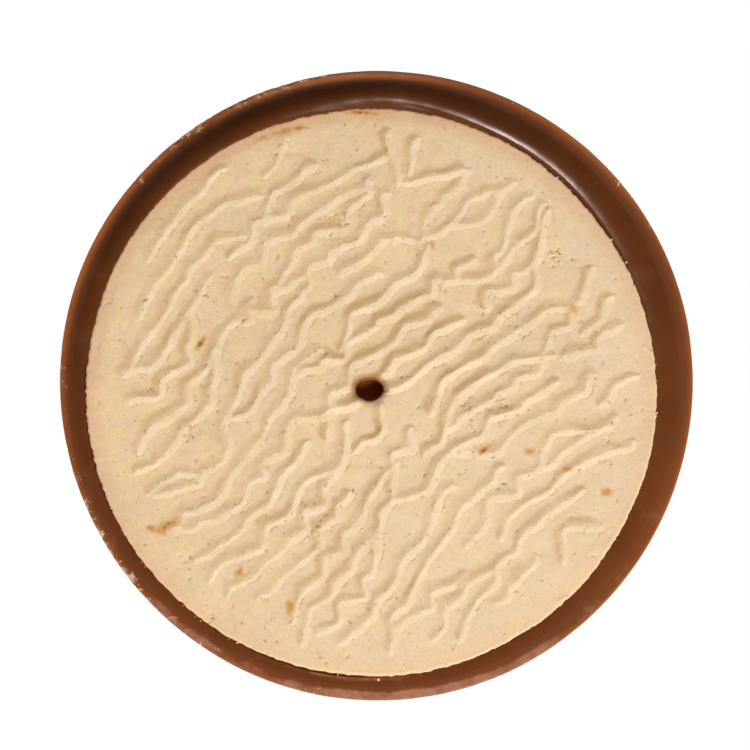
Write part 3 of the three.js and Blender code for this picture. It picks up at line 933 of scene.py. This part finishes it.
# A material made of nodes: an input that is given a socket is linked, and any other value is set.
class Finish:
    def __init__(self, name, look):
        self.look = look
        self.material = bpy.data.materials.new(name)
        self.material.use_nodes = True
        self.tree = self.material.node_tree

    def fill(self, node, inputs):
        for key, value in inputs.items():
            if isinstance(value, bpy.types.NodeSocket):
                self.tree.links.new(value, node.inputs[key])
            else:
                node.inputs[key].default_value = value

    def add(self, kind, inputs, **settings):
        node = self.tree.nodes.new(kind)
        for key, value in settings.items():
            setattr(node, key, value)
        self.fill(node, inputs)
        return node

    def surface(self, inputs):
        self.fill(self.tree.nodes["Principled BSDF"], inputs)
        return self.material

    def calculate(self, operation, first, second=0.0):
        return self.add("ShaderNodeMath", {0: first, 1: second}, operation=operation).outputs[0]

    # a mesh attribute times a strength
    def attribute(self, name, strength=1.0):
        value = self.add("ShaderNodeAttribute", {}, attribute_name=name).outputs["Fac"]
        return self.calculate("MULTIPLY", value, strength)

    def mix(self, factor, first, second, blend="MIX"):
        inputs = {0: factor, 6: first, 7: second}
        return self.add("ShaderNodeMix", inputs, data_type="RGBA", blend_type=blend).outputs[2]

    # one of the look's colours over what is under it
    def paint(self, under, amount, name):
        return self.mix(amount, under, self.look[name])

    # an eased step from one amount to the other between two levels
    def ramp(self, value, levels, amounts=(0, 1)):
        inputs = {0: value, 1: levels[0], 2: levels[1], 3: amounts[0], 4: amounts[1]}
        return self.add("ShaderNodeMapRange", inputs, interpolation_type="SMOOTHSTEP").outputs[0]

    # noise on Object coordinates, its feature size in millimetres
    def noise(self, size, detail, roughness):
        place = self.add("ShaderNodeTexCoord", {}).outputs["Object"]
        inputs = {"Vector": place, "Scale": 1 / (size * mm), "Detail": detail, "Roughness": roughness}
        return self.add("ShaderNodeTexNoise", inputs).outputs["Fac"]

    # soft-edged patches: a ramp of noise, with more of them where the bias is high
    def patches(self, name, bias=0.0):
        texture, levels, amounts = self.look[name + "Patches"]
        return self.ramp(self.calculate("ADD", self.noise(*texture), bias), levels, amounts)

    # fine relief, its distance in millimetres
    def bump(self, height, strength, distance):
        inputs = {"Height": height, "Strength": strength, "Distance": distance * mm}
        return self.add("ShaderNodeBump", inputs).outputs[0]


# Display values from 0 to 255 as linear light, by the sRGB curve.
def colour(red, green, blue):
    level = np.array([red, green, blue]) / 255
    return (*np.where(level <= 0.04045, level / 12.92, ((level + 0.055) / 1.055) ** 2.4), 1.0)


# Looks of the biscuit; an amount is the share of a colour where it is strongest
biscuitLook = {
    "yellowish": colour(236, 207, 156),
    "pinkish": colour(238, 202, 166),
    "grey": colour(230, 204, 168),
    "ochre": colour(225, 192, 141),
    # painted light on the lit lower right
    "paintedLight": colour(236, 210, 175),
    # pale strip on the ridges: part paler crumb, part painted highlight
    "crest": colour(241, 214, 177),
    # painted shade along the ridges' upper left foot
    "foot": colour(214, 175, 122),
    "margin": colour(229, 190, 148),
    "baked": colour(226, 166, 118),
    "golden": colour(217, 164, 102),
    "toasted": colour(166, 103, 50),
    "speck": colour(176, 128, 78),
    # painted shade in the pits, darker with depth
    "pit": colour(156, 110, 66),
    "crack": colour(146, 108, 66),
    # painted shade in the creases beside the pale strips
    "creaseShade": colour(180, 138, 84),
    "fleck": colour(246, 224, 192),
    # the hole's wall, part baked crumb and part painted shade, and painted shade around its mouth
    "hollow": colour(146, 98, 54),
    # painted shade on the biscuit's sides
    "sideShade": colour(128, 82, 44),
    "paintedLightAmount": 0.5,
    "marginAmount": 0.7,
    "footAmount": 0.8,
    "bakedAmount": 0.4,
    "pitShadeRamp": ((0.05, 0.7), (0, 0.65)),    # painted shade in the pits: shares of the deepest pit's depth, and amounts there
    "goldenLevels": (0.1, 0.75),    # strengths of a toasted spot
    "toastedLevels": (0.6, 1.25),
    "creaseShadeMiddle": 0.5,            # distance from the middle of the pale strip
    "creaseShadeHalf": 0.12,
    "crumblySpecks": 0.1,           # more of them in the crumbly patches
    "crumblyFlecks": 0.15,
    "crackNoise": (0.9, 1, 0.5),    # size in mm, detail and roughness
    "crackMiddle": 0.5,             # a crack runs where the noise is near this level
    "crackHalf": 0.02,
    "roughness": 0.92,
    "specular": 0.2,
    "crumbNoise": (0.5, 3, 0.65),
    "crumbRelief": 0.75,            # bump of the crumb, and of the pale strips
    "creamRelief": 0.45,
    "bump": (1.0, 0.05),            # strength, distance in mm
    # patches: noise size in mm, detail and roughness, then levels, then amounts there
    "blushPatches": ((1.6, 2, 0.5), (0.37, 0.63), (0, 1)),
    "greyPatches": ((6, 3, 0.5), (0.45, 0.65), (0, 0.6)),
    "ochrePatches": ((0.8, 1, 0.5), (0.54, 0.68), (0, 0.4)),
    "raggedPatches": ((0.5, 3, 0.6), (0.25, 0.75), (-0.14, 0.14)),
    "creamPatches": ((2.4, 2, 0.5), (0.35, 0.65), (0.2, 0.9)),
    "creaseShadePatches": ((1.9, 2, 0.5), (0.56, 0.68), (0, 0.6)),
    "crackPatches": ((1.3, 1, 0.5), (0.65, 0.72), (0, 0.7)),
    "speckPatches": ((0.6, 1, 0.5), (0.7, 0.78), (0, 0.5)),
    "fleckPatches": ((0.5, 2, 0.6), (0.68, 0.78), (0, 0.6)),
    "grainPatches": ((0.35, 2, 0.6), (0.3, 0.7), (0.96, 1.03)),
}


def makeBiscuitMaterial():
    look = biscuitLook
    finish = Finish("bakedBiscuit", look)
    body = finish.mix(finish.patches("blush"), look["yellowish"], look["pinkish"])
    for name in ("grey", "ochre"):
        body = finish.paint(body, finish.patches(name), name)
    # painted light on the lit side, the plain border, and painted shade along the ridges' upper left foot
    for name in ("paintedLight", "margin", "foot"):
        body = finish.paint(body, finish.attribute(name, look[name + "Amount"]), name)

    # pale strips on the ridges, part paler crumb and part painted highlight, and painted shade in the
    # creases beside them
    ragged = finish.patches("ragged")
    fromCream = finish.calculate("ADD", finish.attribute("fromCream"), ragged)
    cream = finish.ramp(fromCream, ridges["creamHalf"], (1, 0))
    body = finish.paint(body, finish.calculate("MULTIPLY", cream, finish.patches("cream")), "crest")
    # painted shade in a thin crease along the edge of each pale strip
    fromCreaseShade = finish.calculate("SUBTRACT", fromCream, look["creaseShadeMiddle"])
    creaseShade = finish.ramp(finish.calculate("ABSOLUTE", fromCreaseShade), (0, look["creaseShadeHalf"]), (1, 0))
    body = finish.paint(body, finish.calculate("MULTIPLY", creaseShade, finish.patches("creaseShade")), "creaseShade")

    # specks, cracks and flecks, and painted shade in the pits
    specks = finish.patches("speck", finish.attribute("crumbly", look["crumblySpecks"]))
    body = finish.paint(body, specks, "speck")
    fromCrack = finish.calculate("SUBTRACT", finish.noise(*look["crackNoise"]), look["crackMiddle"])
    crack = finish.ramp(finish.calculate("ABSOLUTE", fromCrack), (0, look["crackHalf"]), (1, 0))
    body = finish.paint(body, finish.calculate("MULTIPLY", crack, finish.patches("crack")), "crack")
    flecks = finish.patches("fleck", finish.attribute("crumbly", look["crumblyFlecks"]))
    body = finish.paint(body, flecks, "fleck")
    body = finish.paint(body, finish.ramp(finish.attribute("pit"), *look["pitShadeRamp"]), "pit")

    # baked border, toasted spots and grain, then painted shade on the sides in the chocolate, and the
    # hole's browner wall, part baked crumb and part painted shade
    body = finish.paint(body, finish.attribute("baked", look["bakedAmount"]), "baked")
    toast = finish.calculate("ADD", finish.attribute("toast"), ragged)
    for name in ("golden", "toasted"):
        body = finish.paint(body, finish.ramp(toast, look[name + "Levels"]), name)
    grain = finish.patches("grain")
    shade = finish.add("ShaderNodeCombineColor", {0: grain, 1: grain, 2: grain}).outputs[0]
    body = finish.mix(1.0, body, shade, "MULTIPLY")
    for name in ("sideShade", "hollow"):
        body = finish.paint(body, finish.attribute(name), name)

    crumb = finish.calculate("MULTIPLY", finish.noise(*look["crumbNoise"]), look["crumbRelief"])
    strips = finish.calculate("MULTIPLY", cream, look["creamRelief"])
    relief = finish.calculate("ADD", crumb, strips)
    return finish.surface({
        "Base Color": body,
        "Roughness": look["roughness"],
        "Specular IOR Level": look["specular"],
        "Normal": finish.bump(relief, *look["bump"]),
    })


# Looks of the chocolate
chocolateLook = {
    "milk": colour(97, 51, 23),
    "warm": colour(104, 55, 25),
    # painted glow of light through the thin edge, also on the plug
    "thin": colour(188, 106, 51),
    "lip": colour(146, 91, 62),
    # scuffed band, also used for the painted highlight on the ridge along a crevice
    "scuff": colour(155, 101, 74),
    "rubbed": colour(182, 132, 106),
    "crust": colour(158, 110, 78),
    "chip": colour(225, 190, 163),
    "thinAmount": 1.0,
    "lipAmount": 0.85,
    "scuffRamp": ((0.15, 0.85), (0, 0.95)),
    "chipBias": 0.28,               # more of them in the chipped stretches
    "chipRamp": ((0.02, 0.15), (0, 0.85)),  # strengths of a stretch, and amounts there
    "mattAmount": 0.7,              # roughness that the matt band adds
    "specular": 0.35,
    "grainNoise": (0.8, 4, 0.6),
    "bump": (0.12, 0.05),           # strength, distance in mm
    # patches: noise size in mm, detail and roughness, then levels, then amounts there
    "warmPatches": ((6, 2, 0.5), (0.35, 0.65), (0, 1)),
    "scuffPatches": ((3.2, 5, 0.6), (0.3, 0.7), (-0.28, 0.28)),
    "rubbedPatches": ((1.1, 3, 0.6), (0.42, 0.62), (0, 0.5)),
    "chipPatches": ((1.5, 4, 0.68), (0.67, 0.72), (0, 1)),
    "freshPatches": ((1.0, 2, 0.5), (0.42, 0.58), (0, 1)),
    "glossPatches": ((2.4, 3, 0.6), (0.3, 0.7), (0.185, 0.235)),
}


def makeChocolateMaterial(name, paleness):
    look = chocolateLook
    finish = Finish(name, look)
    body = finish.mix(finish.patches("warm"), look["milk"], look["warm"])
    # painted glow of the thin edge, and the lip's colour
    for tone in ("thin", "lip"):
        body = finish.paint(body, finish.attribute(tone, look[tone + "Amount"]), tone)

    # scuffed bands, with the painted highlight on the ridge along a crevice, and chips, both in two tones
    scuffAndHighlight = finish.calculate("ADD", finish.attribute("frostAndHighlight"), finish.patches("scuff"))
    scuff = finish.mix(finish.patches("rubbed"), look["scuff"], look["rubbed"])
    body = finish.mix(finish.ramp(scuffAndHighlight, *look["scuffRamp"]), body, scuff)
    broken = finish.patches("chip", finish.attribute("chip", look["chipBias"]))
    onChip = finish.ramp(finish.attribute("chip"), *look["chipRamp"])
    chip = finish.mix(finish.patches("fresh"), look["crust"], look["chip"])
    body = finish.mix(finish.calculate("MULTIPLY", broken, onChip), body, chip)
    body = finish.paint(body, paleness, "chip")

    matt = finish.attribute("matt", look["mattAmount"])
    return finish.surface({
        "Base Color": body,
        "Roughness": finish.calculate("ADD", finish.patches("gloss"), matt),
        "Specular IOR Level": look["specular"],
        "Normal": finish.bump(finish.noise(*look["grainNoise"]), *look["bump"]),
    })


# White ground, just under the cookie so that the two faces don't coincide; sizes in metres
ground = {"half": 1.5, "height": -0.05 * mm, "glow": 1.0, "roughness": 0.9}


def makeFloor():
    mesh = bpy.data.meshes.new("floor")
    half, height = ground["half"], ground["height"]
    corners = [(-half, -half, height), (half, -half, height), (half, half, height), (-half, half, height)]
    mesh.from_pydata(corners, [], [(0, 1, 2, 3)])
    mesh.materials.append(Finish("whitePaper", ground).surface({
        "Base Color": (0, 0, 0, 1),
        "Roughness": ground["roughness"],
        "Emission Color": (1, 1, 1, 1),
        "Emission Strength": ground["glow"],
    }))
    floor = bpy.data.objects.new("floor", mesh)
    bpy.context.scene.collection.objects.link(floor)
    floor.visible_glossy = False


# Lights: direction in degrees, distance and size in metres, power in watts
lights = {
    "keyLight": {"azimuth": -65, "elevation": 45, "distance": 0.9, "size": 0.5, "power": 11.6},
    "glossLight": {"azimuth": 66, "elevation": 63.5, "distance": 0.6, "size": 0.1, "power": 1.5},
    "glossTint": (1, 0.93, 0.88),
    "sky": 0.04,
}


# A square soft light, placed by its direction and aimed at the cookie.
def addLight(name):
    setting = lights[name]
    light = bpy.data.lights.new(name, "AREA")
    light.shape = "SQUARE"
    light.size = setting["size"]
    light.energy = setting["power"]
    lamp = bpy.data.objects.new(name, light)
    a, e = math.radians(setting["azimuth"]), math.radians(setting["elevation"])
    toLight = Vector((math.cos(a) * math.cos(e), math.sin(a) * math.cos(e), math.sin(e)))
    lamp.location = toLight * setting["distance"]
    lamp.rotation_euler = (-toLight).to_track_quat("-Z", "Y").to_euler()
    bpy.context.scene.collection.objects.link(lamp)
    return lamp


# The key light lights without a glint, and the gloss light only glints.
def makeLights():
    addLight("keyLight").visible_glossy = False
    gloss = addLight("glossLight")
    gloss.visible_diffuse = False
    gloss.data.color = lights["glossTint"]
    world = bpy.data.worlds.new("studio")
    world.use_nodes = True
    sky = world.node_tree.nodes["Background"]
    sky.inputs["Color"].default_value = (1, 1, 1, 1)
    sky.inputs["Strength"].default_value = lights["sky"]
    bpy.context.scene.world = world
    bpy.context.scene.view_settings.view_transform = "Standard"


# Camera: distance in metres, elevation in degrees, width of the picture and aim in millimetres
camera = {"distance": 0.7, "elevation": 84, "width": 75.72, "aim": (-0.19, 0.71, 6)}


def makeCamera():
    lens = bpy.data.cameras.new("camera")
    lens.lens = lens.sensor_width * camera["distance"] / (camera["width"] * mm)
    eye = bpy.data.objects.new("camera", lens)
    elevation = math.radians(camera["elevation"])
    back = Vector((0, -math.cos(elevation), math.sin(elevation)))
    aim = Vector([value * mm for value in camera["aim"]])
    eye.location = aim + back * camera["distance"]
    eye.rotation_euler = (-back).to_track_quat("-Z", "Y").to_euler()
    bpy.context.scene.collection.objects.link(eye)
    bpy.context.scene.camera = eye


biscuitMaterial = makeBiscuitMaterial()
chocolateMaterial = makeChocolateMaterial("milkChocolate", 0.0)
flakeMaterial = makeChocolateMaterial("chocolateFlake", flakes["paleness"])
print("materials made")
makeBiscuit(biscuitMaterial)
makeChocolate(chocolateMaterial)
makeFlakes(flakeMaterial)
makeCrumbs(biscuitMaterial)
print("cookie made")
makeFloor()
makeLights()
makeCamera()
print("floor, lights and camera set")
